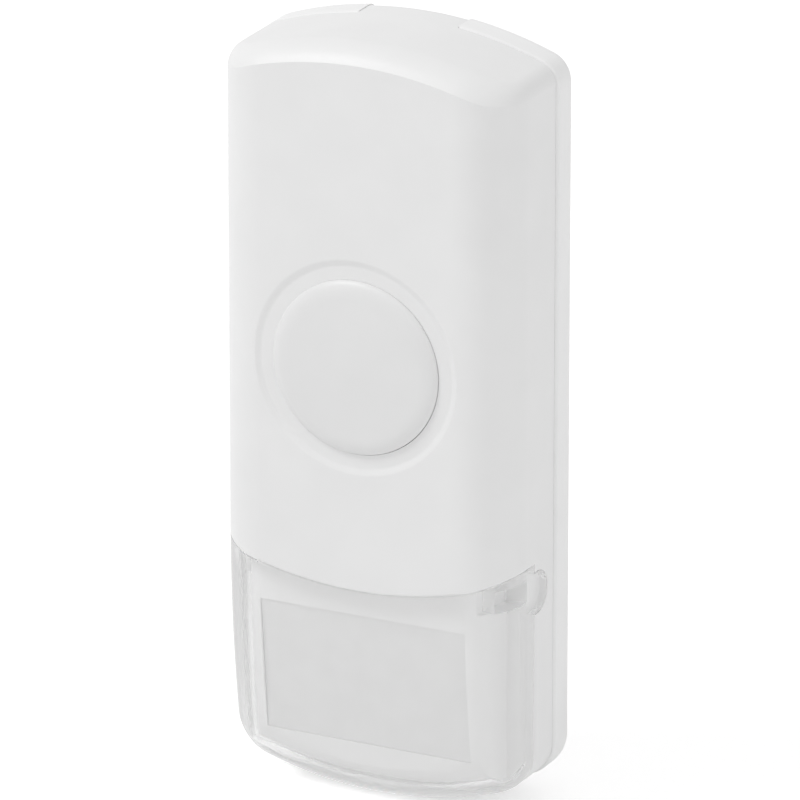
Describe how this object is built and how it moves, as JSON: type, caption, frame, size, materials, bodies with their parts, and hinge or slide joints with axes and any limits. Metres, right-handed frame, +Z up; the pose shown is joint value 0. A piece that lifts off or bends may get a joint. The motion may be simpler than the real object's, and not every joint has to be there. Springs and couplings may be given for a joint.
{
  "type": "wireless door button",
  "caption": "Slim upright wall-mounted wireless door button: white case with curved ends, round push button in a shallow dish, clear pull-off name window over a label, screw-on wall plate.",
  "frame": {"origin": "centre of the wall plate's flat back face, half way up, on the wall", "axes": "+Z up the wall, +Y into the wall, so the face with the button looks along -Y, and +X is to the right of someone who faces the button"},
  "size_m": [0.0372, 0.019, 0.0907],
  "materials": {
    "plate_abs": "white ABS, moulded, fine satin",
    "cover_abs": "white ABS, moulded, fine satin",
    "clear_window": "clear polycarbonate, moulded, smooth",
    "label_paper": "plain blank card",
    "button_abs": "white ABS, moulded, semi-gloss",
    "seal_rubber": "soft silicone ring",
    "board_laminate": "glass-epoxy laminate with green solder mask",
    "screw_steel": "zinc-plated self-tapping screw",
    "copper_track": "bare copper track",
    "black_moulding": "black moulded nylon",
    "tinned_sheet": "tinned steel sheet",
    "led_lens": "tinted clear epoxy",
    "chip_epoxy": "black moulded epoxy",
    "nickel_can": "nickel-plated can",
    "trimmer_ceramic": "ceramic trimmer",
    "chip_ceramic": "tan ceramic chip",
    "battery_sleeve": "steel can in a plain dark sleeve",
    "brass_cap": "plated battery cap",
    "contact_sheet": "nickel-plated spring sheet"
  },
  "bodies": {
    "wall_plate": {"back_plate": "plate_abs"},
    "front_unit": {"front_cover": "cover_abs", "label_card": "label_paper", "button_seal": "seal_rubber", "circuit_board": "board_laminate", "board_screws": "screw_steel", "antenna_track": "copper_track", "switch_body": "black_moulding", "switch_plate": "tinned_sheet", "status_led": "led_lens", "encoder_chip": "chip_epoxy", "chip_pins": "tinned_sheet", "saw_resonator": "nickel_can", "rf_transistor": "chip_epoxy", "trim_capacitor": "trimmer_ceramic", "chip_resistors": "chip_epoxy", "chip_capacitors": "chip_ceramic", "battery": "battery_sleeve", "battery_cap": "brass_cap", "contact_plus": "contact_sheet", "contact_minus": "contact_sheet"},
    "button": {"push_button": "button_abs"},
    "plunger": {"switch_plunger": "black_moulding"},
    "window": {"name_window": "clear_window"}
  },
  "joints": [
    {"name": "cover_pull", "type": "slide", "parent": "wall_plate", "child": "front_unit", "axis": [0, -1, 0], "range_m": [0, 0.025]},
    {"name": "button_press", "type": "slide", "parent": "front_unit", "child": "button", "axis": [0, 1, 0], "range_m": [0, 0.0005], "stiffness_N_per_m": 1600, "springref_m": -0.0004},
    {"name": "plunger_press", "type": "slide", "parent": "front_unit", "child": "plunger", "axis": [0, 1, 0], "range_m": [0, 0.0005]},
    {"name": "window_pull", "type": "slide", "parent": "front_unit", "child": "window", "axis": [0, -1, 0], "range_m": [0, 0.02]}
  ],
  "couplings": [
    {"joint": "plunger_press", "follows": "button_press", "ratio": 1}
  ]
}
